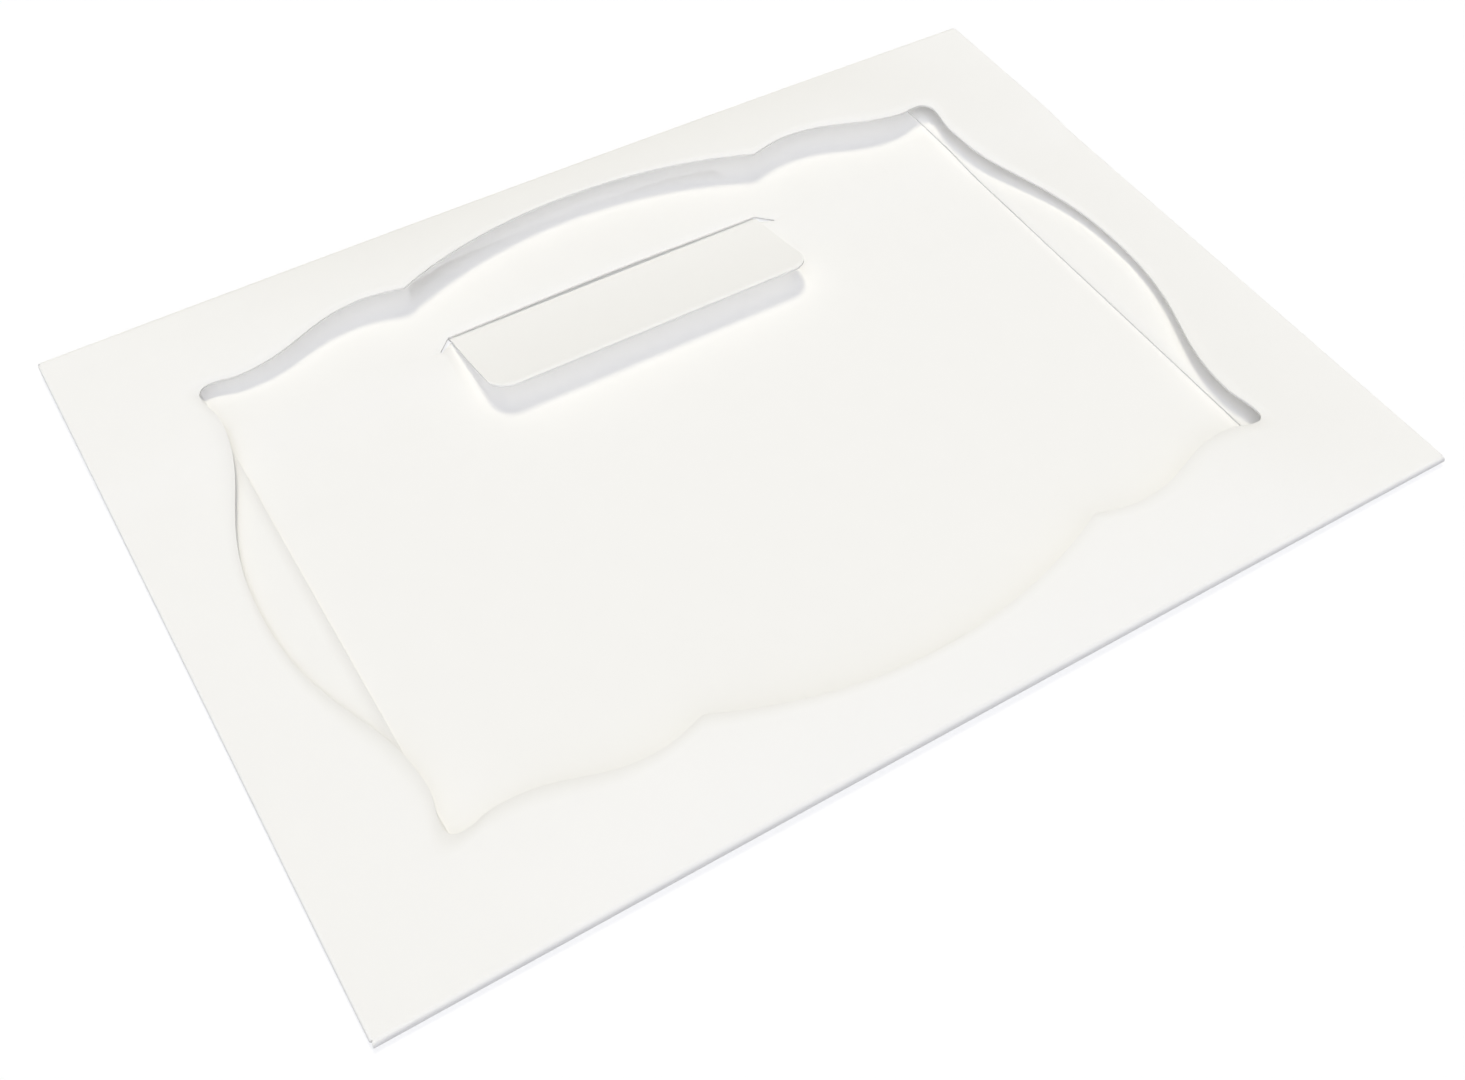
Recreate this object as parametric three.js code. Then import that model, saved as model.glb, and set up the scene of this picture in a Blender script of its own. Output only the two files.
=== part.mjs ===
// A photo folder: one sheet of card, cut and scored flat, then folded in on all four sides.
// Sizes are in millimetres. The folder lies on its back with its front panel up and its middle at the
// origin. X runs along the long edges, Y from the near long edge to the far one, and Z up from the table.
// The sheet is built as the surface halfway through the card, which is then given its thickness.

import * as THREE from 'three';
import { mergeGeometries, mergeVertices } from 'three/addons/utils/BufferGeometryUtils.js';

// Card and overall size
const folderWidth = 186;
const folderHeight = 133;
const cardThickness = 0.35;
const layerClearance = 0.25;

// Spring of the front panel above its folds
const domeRise = 3.2;
const domeReachFromLongFolds = 21;
const domeReachFromLeftFold = 66;
const domeReachFromRightFold = 38;
const longFoldBow = 0.85;
const foldAllowance = 1;

// How far each long fold runs on past the corner of the front panel, halfway down the fold
const longFoldNose = 0.35;

// Window outline: margins to its corner lobes, and the scrolls between them
const windowShiftX = -0.6;
const sideMargin = 20.6;
const longMargin = 20;
const lobeRadius = 2;
const sideBulge = 7.5;
const waistBelowLobe = 8.2;
const waistDepth = 1;
const valleyFromLobe = 7.7;
const valleyDepth = 0.9;
const cuspFromMiddle = 34.7;
const cuspHeight = 2.1;
const bumpFromCusp = 8;
const bumpHeight = 3.7;
const longBulge = 9.7;
const bulgeFullness = 0.52;
const waistFullness = 0.36;
const scrollSweep = 0.45;

// Side flaps, folded in first
const leftFlapWidth = 20.6;
const rightFlapWidth = 23.2;
const sideFlapTaper = 8;

// Back panel and the slit in it
const backPanelStop = 4;
const backPanelTaper = 3.5;
const slitFromFarEdge = 28;
const slitGap = 0.8;
const slitEndGap = 0.4;
const slitEndRun = 2.6;
const slitEndDrop = 2.3;
const lipLift = 0.5;
const lipFade = 15;
const rampLength = 12;

// Closing flap and its tongue
const tongueShiftX = -2.1;
const tongueWidth = 60.4;
const tongueLength = 18.6;
const tongueCornerRadius = 4;
const tongueRise = 4.2;
const tongueStartSlope = 0.75;
const tongueSideClearance = 0.1;
const shoulderStep = 6;
const shoulderFromSlit = 1;

// Steps of the mesh
const bendSteps = 6;
const frontRings = 4;
const bulgeSteps = 9;
const neckSteps = 3;
const lobeSteps = 4;
const valleySteps = 3;
const riseSteps = 7;
const shoulderSteps = 4;
const topSteps = 9;
const outerSteps = 8;

const halfWidth = folderWidth / 2;
const halfHeight = folderHeight / 2;
const halfCard = cardThickness / 2;
const layerPitch = cardThickness + layerClearance;
const slitY = halfHeight - slitFromFarEdge;
const tongueHalf = tongueWidth / 2;
const slitStraightHalf = tongueHalf + tongueSideClearance;
const slitHalf = slitStraightHalf + slitEndRun;

const clamp01 = (value) => THREE.MathUtils.clamp(value, 0, 1);
const lerp = THREE.MathUtils.lerp;
const smooth = (value) => THREE.MathUtils.smoothstep(value, 0, 1);
const crown = (value) => 1 - (1 - clamp01(value)) ** 2;

// Heights of the layers, halfway through the card

// How far the layers have climbed on to the closing flap, 0 before the ramp and 1 past it
function climb(y) {
  return smooth((y - slitY + slitGap / 2 + rampLength) / rampLength);
}

function sideFlapHeight(y) {
  return halfCard + layerPitch * (1 + climb(y));
}

function frontHeight(x, y) {
  const level = halfCard + layerPitch * (2 + climb(y));
  const bow = longFoldBow * (1 - (x / halfWidth) ** 2);
  const fromLongFold = halfHeight - foldAllowance - Math.abs(y);
  const fromSideFold = halfWidth - foldAllowance - Math.abs(x);
  const sideReach = x < 0 ? domeReachFromLeftFold : domeReachFromRightFold;
  const dome = crown(fromLongFold / domeReachFromLongFolds) * smooth(fromSideFold / sideReach);
  return level + bow + domeRise * dome;
}

// How far past the straight part of the slit a point lies, negative beside the straight part
function pastSlitStraight(x) {
  return Math.abs(x - tongueShiftX) - slitStraightHalf;
}

// The line of the slit, which turns down at each end
function slitLine(x) {
  const past = pastSlitStraight(x);
  const down = clamp01(past / slitEndRun);
  const back = clamp01((past - slitEndRun) / rampLength);
  return slitY - slitEndDrop * (down - back);
}

function slitHalfGap(x) {
  return lerp(slitGap, slitEndGap, clamp01(pastSlitStraight(x) / slitEndRun)) / 2;
}

function backHeight(x, y, aboveSlit) {
  const besideSlit = smooth(pastSlitStraight(x) / slitEndRun);
  const ramp = smooth((y - slitLine(x) + slitHalfGap(x) + rampLength) / rampLength);
  const rise = aboveSlit ? 1 : besideSlit * ramp;
  const across = clamp01(Math.abs(x - tongueShiftX) / slitHalf);
  const fade = 1 - smooth((y - slitLine(x) - slitHalfGap(x)) / lipFade);
  const lift = aboveSlit ? lipLift * (1 - smooth(across)) * fade : 0;
  return halfCard + layerPitch * rise + lift;
}

// Folds

// One fold: a round bend from the front panel's edge, out and under to the flap below it
function bendAt(front, slope, flap, half) {
  const tilt = Math.atan(slope);
  const radius = (front - flap) / (1 + Math.cos(tilt));
  const centre = half - halfCard - radius;
  return (part) => {
    const angle = lerp(Math.PI / 2 - tilt, -Math.PI / 2, part);
    return { out: centre + radius * Math.cos(angle), z: flap + radius + radius * Math.sin(angle) };
  };
}

function sideBend(side, y) {
  const edge = side * (halfWidth - foldAllowance);
  const front = frontHeight(edge, y);
  const slope = frontHeight(edge - side, y) - front;
  return bendAt(front, slope, sideFlapHeight(y), halfWidth);
}

function longBend(side, x) {
  const edge = side * (halfHeight - foldAllowance);
  const front = frontHeight(x, edge);
  const slope = frontHeight(x, edge - side) - front;
  return bendAt(front, slope, halfCard, halfHeight);
}

function sideFoldPoint(side, y, part) {
  const bend = sideBend(side, y)(part);
  return new THREE.Vector3(side * bend.out, y, bend.z);
}

function longFoldPoint(side, x, part) {
  const bend = longBend(side, x)(part);
  const nose = 1 + longFoldNose / halfWidth * Math.sin(Math.PI * part);
  return new THREE.Vector3(x * nose, side * bend.out, bend.z);
}

// The corner of the front panel, where the folds of two sides meet
function cornerPoint(sideX, sideY) {
  const x = sideX * sideBend(sideX, sideY * halfHeight)(0).out;
  const y = sideY * longBend(sideY, x)(0).out;
  return new THREE.Vector3(x, y, frontHeight(x, y));
}

// Window outline, one quarter from the middle of the right side to the middle of the far side

const lobeX = halfWidth - sideMargin;
const lobeY = halfHeight - longMargin;

function bezier(...numbers) {
  const points = [];
  for (let i = 0; i < numbers.length; i += 2) {
    points.push(new THREE.Vector2(numbers[i], numbers[i + 1]));
  }
  return new THREE.CubicBezierCurve(...points);
}

function sideScroll() {
  const bulgeX = lobeX + sideBulge;
  const waistX = lobeX - waistDepth;
  const waistY = lobeY - waistBelowLobe;
  const lobeStartY = lobeY - lobeRadius;
  const third = (lobeStartY - waistY) / 3;
  const bulgePull = waistY * bulgeFullness;
  const waistPull = waistY * (1 - waistFullness);
  const bulge = bezier(bulgeX, 0, bulgeX, bulgePull, waistX, waistPull, waistX, waistY);
  const neck = bezier(waistX, waistY, waistX, waistY + third, lobeX, lobeStartY - third, lobeX, lobeStartY);
  return [...bulge.getPoints(bulgeSteps), ...neck.getPoints(neckSteps).slice(1)];
}

function lobeScroll() {
  const lobe = new THREE.EllipseCurve(
    lobeX - lobeRadius, lobeY - lobeRadius, lobeRadius, lobeRadius, 0, Math.PI / 2,
  );
  return lobe.getPoints(lobeSteps);
}

function longScroll() {
  const lobeEndX = lobeX - lobeRadius;
  const valleyX = lobeX - valleyFromLobe;
  const valleyY = lobeY - valleyDepth;
  const bumpX = cuspFromMiddle + bumpFromCusp;
  const bumpY = lobeY + bumpHeight;
  const cuspY = lobeY + cuspHeight;
  const hollow = (lobeEndX - valleyX) / 2;
  const sweep = (valleyX - bumpX) * scrollSweep;
  const third = bumpFromCusp / 3;
  const fall = (bumpY - cuspY) / 2;
  const valley = bezier(
    lobeEndX, lobeY, lobeEndX - hollow, lobeY, valleyX + hollow, valleyY, valleyX, valleyY,
  );
  const rise = bezier(valleyX, valleyY, valleyX - sweep, valleyY, bumpX + sweep, bumpY, bumpX, bumpY);
  const shoulder = bezier(
    bumpX, bumpY, bumpX - third, bumpY, cuspFromMiddle + third, cuspY + fall, cuspFromMiddle, cuspY,
  );
  const sagitta = longBulge - cuspHeight;
  const arcRadius = (cuspFromMiddle ** 2 + sagitta ** 2) / (2 * sagitta);
  const arcStart = Math.acos(cuspFromMiddle / arcRadius);
  const top = new THREE.EllipseCurve(
    0, lobeY + longBulge - arcRadius, arcRadius, arcRadius, arcStart, Math.PI / 2,
  );
  return [
    ...valley.getPoints(valleySteps),
    ...rise.getPoints(riseSteps).slice(1),
    ...shoulder.getPoints(shoulderSteps).slice(1),
    ...top.getPoints(topSteps).slice(1),
  ];
}

// Runs of matching points, each with one on the window outline and one on the outer edge

function windowPoint(sideX, sideY, point) {
  return new THREE.Vector2(windowShiftX + sideX * point.x, sideY * point.y);
}

// The run along one short side, in order of rising Y
function sideRun(side) {
  const points = sideScroll();
  const half = (sideY) => points.map((point, i) => {
    const corner = cornerPoint(side, sideY);
    const along = corner.y * point.y / (lobeY - lobeRadius);
    const outer = i === points.length - 1 ? corner : sideFoldPoint(side, along, 0);
    return { window: windowPoint(side, sideY, point), outer, along };
  });
  return [...half(-1).reverse(), ...half(1).slice(1)];
}

// The run along one long side, in order of rising X
function longRun(side) {
  const points = longScroll();
  const half = (sideX) => points.map((point, i) => {
    const corner = cornerPoint(sideX, side);
    const along = corner.x * point.x / (lobeX - lobeRadius);
    const outer = i === 0 ? corner : longFoldPoint(side, along, 0);
    return { window: windowPoint(sideX, side, point), outer, along };
  });
  return [...half(-1), ...half(1).reverse().slice(1)];
}

// The run around one corner lobe, whose outer points are all the corner of the front panel
function cornerRun(sideX, sideY) {
  const outer = cornerPoint(sideX, sideY);
  const inner = lobeScroll().slice(1, -1);
  return inner.map((point) => ({ window: windowPoint(sideX, sideY, point), outer }));
}

const rightRun = sideRun(1);
const farRun = longRun(1).reverse();
const leftRun = sideRun(-1).reverse();
const nearRun = longRun(-1);

// Surfaces, as grids whose rows run outwards from the window and whose columns run anticlockwise

function gridSurface(rows, columns, pointAt, isOpen = () => false) {
  const positions = [];
  const index = [];
  for (let row = 0; row <= rows; row += 1) {
    for (let column = 0; column <= columns; column += 1) {
      positions.push(...pointAt(row, column).toArray());
    }
  }
  for (let row = 0; row < rows; row += 1) {
    for (let column = 0; column < columns; column += 1) {
      if (isOpen(row, column)) continue;
      const near = row * (columns + 1) + column;
      const far = near + columns + 1;
      index.push(near, far, far + 1, near, far + 1, near + 1);
    }
  }
  const surface = new THREE.BufferGeometry();
  surface.setAttribute('position', new THREE.Float32BufferAttribute(positions, 3));
  surface.setIndex(index);
  return surface;
}

function frontPanel() {
  const loop = [
    ...rightRun,
    ...cornerRun(1, 1),
    ...farRun,
    ...cornerRun(-1, 1).reverse(),
    ...leftRun,
    ...cornerRun(-1, -1),
    ...nearRun,
    ...cornerRun(1, -1).reverse(),
  ];
  return gridSurface(frontRings, loop.length, (row, column) => {
    const { window, outer } = loop[column % loop.length];
    if (row === frontRings) return outer;
    const x = lerp(window.x, outer.x, row / frontRings);
    const y = lerp(window.y, outer.y, row / frontRings);
    return new THREE.Vector3(x, y, frontHeight(x, y));
  });
}

function sideFlap(side, run, flapWidth) {
  const flapRows = 3;
  const freeX = side * (halfWidth - flapWidth);
  return gridSurface(bendSteps + flapRows, run.length - 1, (row, column) => {
    const { along, outer } = run[column];
    if (row === 0) return outer;
    if (row <= bendSteps) return sideFoldPoint(side, along, row / bendSteps);
    const part = (row - bendSteps) / flapRows;
    const y = along * lerp(1, 1 - sideFlapTaper / halfHeight, part);
    const x = lerp(sideFoldPoint(side, along, 1).x, freeX, part);
    return new THREE.Vector3(x, y, sideFlapHeight(y));
  });
}

// Places along X: each stretch between two stops is shared out evenly by its own number of steps
function placesAlong(stops, steps) {
  const places = [stops[0]];
  steps.forEach((count, stretch) => {
    for (let step = 1; step <= count; step += 1) {
      places.push(lerp(stops[stretch], stops[stretch + 1], step / count));
    }
  });
  return places;
}

const longSteps = nearRun.length - 1;

function backPanel() {
  const endSteps = 2;
  const straightSteps = longSteps - 2 * (outerSteps + endSteps);
  const sideX = halfWidth - backPanelTaper;
  const places = placesAlong(
    [
      -sideX,
      tongueShiftX - slitHalf,
      tongueShiftX - slitStraightHalf,
      tongueShiftX + slitStraightHalf,
      tongueShiftX + slitHalf,
      sideX,
    ],
    [outerSteps, endSteps, straightSteps, endSteps, outerSteps],
  );
  const flatRows = 3;
  const rampRows = 5;
  const stripRows = 4;
  const rampStart = slitY - slitGap / 2 - rampLength;
  const farEdge = halfHeight - backPanelStop;
  const flatEnd = bendSteps + flatRows;
  const lowerLip = flatEnd + rampRows;
  const upperLip = lowerLip + 1;
  const pointAt = (row, column) => {
    const { along, outer } = nearRun[column];
    if (row === 0) return outer;
    if (row <= bendSteps) return longFoldPoint(-1, along, row / bendSteps);
    const x = lerp(along, places[column], smooth((row - bendSteps) / flatRows));
    const foldY = longFoldPoint(-1, along, 1).y;
    const lower = slitLine(x) - slitHalfGap(x);
    const upper = slitLine(x) + slitHalfGap(x);
    let y = lerp(upper, farEdge, (row - upperLip) / stripRows);
    if (row <= lowerLip) y = lerp(rampStart, lower, (row - flatEnd) / rampRows);
    if (row <= flatEnd) y = lerp(foldY, rampStart, (row - bendSteps) / flatRows);
    return new THREE.Vector3(x, y, backHeight(x, y, row >= upperLip));
  };
  const isSlit = (row, column) => {
    const inSlit = column >= outerSteps && column < longSteps - outerSteps;
    return row === lowerLip && inSlit;
  };
  return gridSurface(upperLip + stripRows, longSteps, pointAt, isSlit);
}

// How far the tongue's free edge is rounded back at a place along X
function tongueRounding(x) {
  const intoCorner = Math.abs(x - tongueShiftX) - (tongueHalf - tongueCornerRadius);
  const run = THREE.MathUtils.clamp(intoCorner, 0, tongueCornerRadius);
  return tongueCornerRadius - Math.sqrt(tongueCornerRadius ** 2 - run ** 2);
}

function closingFlap() {
  const cornerSteps = 5;
  const middleSteps = longSteps - 2 * (outerSteps + cornerSteps);
  const straight = tongueHalf - tongueCornerRadius;
  const shoulder = slitHalf + shoulderStep;
  const places = placesAlong(
    [-shoulder, -tongueHalf, -straight, straight, tongueHalf, shoulder],
    [outerSteps, cornerSteps, middleSteps, cornerSteps, outerSteps],
  ).map((place) => {
    const intoCorner = clamp01((Math.abs(place) - straight) / tongueCornerRadius);
    const isCorner = intoCorner > 0 && Math.abs(place) <= tongueHalf;
    const rounded = straight + tongueCornerRadius * Math.sin(intoCorner * Math.PI / 2);
    return tongueShiftX + (isCorner ? Math.sign(place) * rounded : place);
  }).reverse();
  const flapRows = 4;
  const tongueRows = 5;
  const shoulderY = slitY + slitGap / 2 + shoulderFromSlit;
  const shoulderRow = bendSteps + flapRows;
  const lowRow = shoulderRow + 1;
  const highRow = lowRow + 1;
  const crossing = layerPitch / 2;
  const tongueFloor = halfCard + layerPitch;
  const pointAt = (row, column) => {
    const { along, outer } = farRun[column];
    if (row === 0) return outer;
    if (row <= bendSteps) return longFoldPoint(1, along, row / bendSteps);
    if (row <= shoulderRow) {
      const part = (row - bendSteps) / flapRows;
      const foldY = longFoldPoint(1, along, 1).y;
      return new THREE.Vector3(lerp(along, places[column], part), lerp(foldY, shoulderY, part), halfCard);
    }
    const x = places[column];
    if (row === lowRow) return new THREE.Vector3(x, slitY + crossing, halfCard);
    if (row === highRow) return new THREE.Vector3(x, slitY - crossing, tongueFloor);
    const part = (row - highRow) / tongueRows;
    const freeY = slitY - tongueLength + tongueRounding(x);
    const y = lerp(slitY - crossing, freeY, part);
    const reach = (slitY - crossing - y) / (tongueLength - crossing);
    const curl = reach * lerp(tongueStartSlope, 1, reach);
    return new THREE.Vector3(x, y, tongueFloor + tongueRise * curl);
  };
  const besideTongue = (row, column) => {
    const isTongue = column >= outerSteps && column < longSteps - outerSteps;
    return row >= shoulderRow && !isTongue;
  };
  return gridSurface(highRow + tongueRows, longSteps, pointAt, besideTongue);
}

// One surface from several, joined where their points meet and without faces that have no area
function weld(surfaces) {
  const sheet = mergeVertices(mergeGeometries(surfaces));
  const corners = sheet.index.array;
  const index = [];
  for (let i = 0; i < corners.length; i += 3) {
    const face = [corners[i], corners[i + 1], corners[i + 2]];
    if (new Set(face).size === face.length) index.push(...face);
  }
  sheet.setIndex(index);
  return sheet;
}

// Thickness

// Directions square to the surface at each point, from its faces weighted by their corner angles
function pointNormals(surface) {
  const { position } = surface.attributes;
  const corners = surface.index.array;
  const normals = Array.from({ length: position.count }, () => new THREE.Vector3());
  const face = new THREE.Triangle();
  const faceNormal = new THREE.Vector3();
  for (let i = 0; i < corners.length; i += 3) {
    const ids = [corners[i], corners[i + 1], corners[i + 2]];
    const points = ids.map((id) => new THREE.Vector3().fromBufferAttribute(position, id));
    face.set(...points).getNormal(faceNormal);
    ids.forEach((id, corner) => {
      const toNext = points[(corner + 1) % 3].clone().sub(points[corner]);
      const toLast = points[(corner + 2) % 3].clone().sub(points[corner]);
      normals[id].addScaledVector(faceNormal, toNext.angleTo(toLast));
    });
  }
  return normals.map((normal) => normal.normalize());
}

// The closed solid of a sheet of the given thickness, with a wall along every free edge
function thicken(surface, thickness) {
  const { position } = surface.attributes;
  const corners = surface.index.array;
  const normals = pointNormals(surface);
  const vertices = [];
  for (const offset of [thickness / 2, -thickness / 2]) {
    normals.forEach((normal, id) => {
      const point = new THREE.Vector3().fromBufferAttribute(position, id);
      vertices.push(...point.addScaledVector(normal, offset).toArray());
    });
  }
  const under = position.count;
  const index = [];
  const edges = new Set();
  for (let i = 0; i < corners.length; i += 3) {
    const [a, b, c] = [corners[i], corners[i + 1], corners[i + 2]];
    index.push(a, b, c, under + c, under + b, under + a);
    [[a, b], [b, c], [c, a]].forEach(([from, to]) => edges.add(`${from} ${to}`));
  }
  for (const edge of edges) {
    const [from, to] = edge.split(' ').map(Number);
    if (edges.has(`${to} ${from}`)) continue;
    index.push(to, from, under + from, to, under + from, under + to);
  }
  const solid = new THREE.BufferGeometry();
  solid.setAttribute('position', new THREE.Float32BufferAttribute(vertices, 3));
  solid.setIndex(index);
  solid.computeVertexNormals();
  return solid;
}

function foldedCard() {
  const sheet = weld([
    frontPanel(),
    sideFlap(1, rightRun, rightFlapWidth),
    sideFlap(-1, leftRun, leftFlapWidth),
    backPanel(),
    closingFlap(),
  ]);
  const card = new THREE.MeshStandardMaterial({ color: 0xf3f2ec, roughness: 0.9, metalness: 0 });
  const mesh = new THREE.Mesh(thicken(sheet, cardThickness), card);
  mesh.name = 'folded_card';
  return mesh;
}

const folder = new THREE.Group();
folder.add(foldedCard());

export default folder;
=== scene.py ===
"""A photo folder: one sheet of white card, folded in on all four sides, with a scroll-edged window.

The sheet is worked out as the surface halfway through the card, in millimetres. It lies on its back with
its front panel up. X runs along the long edges, Y from the near long edge to the far one, and Z up.
"""

import math
from collections import namedtuple

import bmesh
import bpy
import numpy as np
from bpy.props import FloatProperty, FloatVectorProperty, PointerProperty
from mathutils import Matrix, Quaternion, Vector
from mathutils.geometry import interpolate_bezier


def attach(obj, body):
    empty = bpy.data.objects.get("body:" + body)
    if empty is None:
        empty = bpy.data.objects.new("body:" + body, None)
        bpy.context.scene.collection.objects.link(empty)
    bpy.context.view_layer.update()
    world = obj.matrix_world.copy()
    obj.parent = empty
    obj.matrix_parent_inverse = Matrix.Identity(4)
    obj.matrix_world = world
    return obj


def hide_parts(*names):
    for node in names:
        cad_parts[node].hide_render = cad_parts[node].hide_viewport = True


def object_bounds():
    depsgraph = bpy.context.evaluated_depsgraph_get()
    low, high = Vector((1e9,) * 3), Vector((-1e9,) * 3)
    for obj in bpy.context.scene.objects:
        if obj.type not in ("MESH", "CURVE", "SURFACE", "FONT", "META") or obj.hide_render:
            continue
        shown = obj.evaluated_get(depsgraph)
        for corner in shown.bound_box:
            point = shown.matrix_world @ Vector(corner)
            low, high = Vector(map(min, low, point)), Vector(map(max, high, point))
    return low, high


bl_info = {
    "name": "Photo Folder",
    "version": (1, 0, 0),
    "blender": (4, 5, 0),
    "location": "3D View > Sidebar > Photo Folder",
    "description": "Folds a sheet of card into a photo folder with a scroll-edged window",
    "category": "Add Mesh",
}

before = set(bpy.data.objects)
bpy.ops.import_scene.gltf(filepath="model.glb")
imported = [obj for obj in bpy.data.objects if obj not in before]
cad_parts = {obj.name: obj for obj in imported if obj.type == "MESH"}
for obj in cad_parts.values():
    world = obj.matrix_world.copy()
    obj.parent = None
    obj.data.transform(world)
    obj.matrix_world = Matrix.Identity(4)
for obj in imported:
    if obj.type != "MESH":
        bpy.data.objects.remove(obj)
FRAME_LOW, FRAME_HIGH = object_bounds()
CARD_NODE = "folded_card"
MM = 0.001

# Folds, in millimetres
LAYER_GAP = 0.25
FOLD_ALLOWANCE = 1
LONG_FOLD_NOSE = 0.35
LONG_FOLD_BOW = 0.85
DOME_REACH_FROM_LONG_FOLDS = 21
DOME_REACH_FROM_LEFT_FOLD = 66
DOME_REACH_FROM_RIGHT_FOLD = 38

# Window outline, in millimetres
WINDOW_SHIFT_X = -0.6
LOBE_RADIUS = 2
WAIST_BELOW_LOBE = 8.2
WAIST_DEPTH = 1
VALLEY_FROM_LOBE = 7.7
VALLEY_DEPTH = 0.9
CUSP_FROM_MIDDLE = 34.7
CUSP_HEIGHT = 2.1
BUMP_FROM_CUSP = 8
BUMP_HEIGHT = 3.7
BULGE_FULLNESS = 0.52
WAIST_FULLNESS = 0.36
SCROLL_SWEEP = 0.45

# Flaps, slit and tongue, in millimetres
SIDE_FLAP_TAPER = 8
SIDE_FLAP_SETTLE = 0.2
BACK_PANEL_STOP = 4
BACK_PANEL_TAPER = 3.5
SLIT_GAP = 0.8
SLIT_END_GAP = 0.4
SLIT_END_RUN = 2.6
SLIT_END_DROP = 2.3
LIP_LIFT = 0.5
LIP_FADE = 15
RAMP_LENGTH = 12
TONGUE_SHIFT_X = -2.1
TONGUE_CORNER_RADIUS = 4
TONGUE_START_SLOPE = 0.75
TONGUE_SIDE_CLEARANCE = 0.1
SHOULDER_STEP = 6
SHOULDER_FROM_SLIT = 1

# Steps of the mesh
BEND_STEPS = 14
FRONT_RINGS = 16
BULGE_STEPS = 36
NECK_STEPS = 10
LOBE_STEPS = 16
VALLEY_STEPS = 8
RISE_STEPS = 24
SHOULDER_STEPS = 12
TOP_STEPS = 36
OUTER_STEPS = 24
SLIT_END_STEPS = 6
TONGUE_CORNER_STEPS = 14
SIDE_FLAP_ROWS = 10
FLAT_ROWS = 8
RAMP_ROWS = 14
STRIP_ROWS = 12
CLOSING_FLAP_ROWS = 8
CROSSING_ROWS = 6
TONGUE_ROWS = 16

# Points nearer each other than this, in millimetres, are joined
WELD_DISTANCE = 0.001

# Cut edges. Where faces meet at more than the angle, in degrees, they are rounded, in millimetres
EDGE_ANGLE = 60
EDGE_ROUNDING = 0.04
EDGE_ROUNDING_STEPS = 2

# Surface of the card. Scales are in waves to a metre, and depths in millimetres
CARD_SPECULAR = 0.3
CLOUD_SCALE = 160
CLOUD_DETAIL = 3
FIBRE_SCALE = 2600
FIBRE_STRETCH = 4
FIBRE_DETAIL = 4
FIBRE_DISTORTION = 0.8
FIBRE_DEPTH = 0.02
FIBRE_ROUGHNESS_LOW = 0.78
FIBRE_ROUGHNESS_HIGH = 0.95
FOLD_FIBRE_RATIO = 2
# Where the painted shade along each fold starts, as a level of the fold attribute
PAINTED_SHADE_START = 0.5
EDGE_ROUGHNESS = 0.95
EDGE_CLOUDINESS_RATIO = 2
EDGE_LAYER_SCALE = 3000
EDGE_LAYER_STRETCH = 5
EDGE_LAYER_STRENGTH = 0.6
EDGE_LAYER_DEPTH = 0.03

# Floor. Its reach to each side is in metres, and its drop below the folder's back in millimetres
FLOOR_REACH = 3
FLOOR_DROP = 0.02
FLOOR_GREY = 0.8

Patch = namedtuple("Patch", "points fold is_open")


def smooth(value):
    """A rise from 0 to 1 that starts and ends level."""
    value = np.clip(value, 0, 1)
    return value * value * (3 - 2 * value)


def crown(value):
    """A rise from 0 to 1 that is steep at first and ends level."""
    return 1 - (1 - np.clip(value, 0, 1)) ** 2


def lerp(start, end, part):
    return start + (end - start) * part


def bezier(points, steps):
    """The points of one cubic curve, as rows of X and Y."""
    start, pull, push, end = (Vector(point) for point in points)
    return np.array(interpolate_bezier(start, pull, push, end, steps + 1))[:, :2]


def arc(centre, radius, start, end, steps):
    """The points of one arc, as rows of X and Y."""
    angle = np.linspace(start, end, steps + 1)
    return np.stack([centre[0] + radius * np.cos(angle), centre[1] + radius * np.sin(angle)], axis=1)


def joined(*curves):
    """Curves that follow on from each other, as one."""
    return np.concatenate([curves[0]] + [curve[1:] for curve in curves[1:]])


def places_along(stops, steps):
    """Places along X, where each stretch between two stops is shared out evenly by its own steps."""
    stretches = [
        np.linspace(low, high, count + 1)[:, None]
        for low, high, count in zip(stops, stops[1:], steps)
    ]
    return joined(*stretches)[:, 0]


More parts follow.
